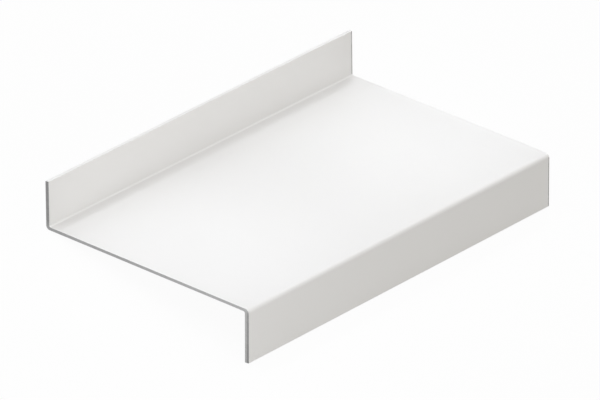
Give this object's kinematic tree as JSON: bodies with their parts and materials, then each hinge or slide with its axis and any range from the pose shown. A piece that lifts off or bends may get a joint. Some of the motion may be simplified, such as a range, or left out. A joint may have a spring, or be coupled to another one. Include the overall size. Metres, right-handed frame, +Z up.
{
  "type": "window sill board",
  "caption": "Outside metal window sill board of Z-shaped section, with a sloping deck, a rear upstand and a front drip flange, cut square at both ends.",
  "frame": {"origin": "on the floor, below the middle of the board's box, with the board lying loose on its flange's toe and its rear bend", "axes": "+X along the board's length; +Y from the drip flange to the upstand; +Z up from the floor"},
  "size_m": [0.29, 0.1658, 0.0325],
  "materials": {
    "white_coat": "satin"
  },
  "bodies": {
    "root": {"sill_board": "white_coat"}
  },
  "joints": []
}
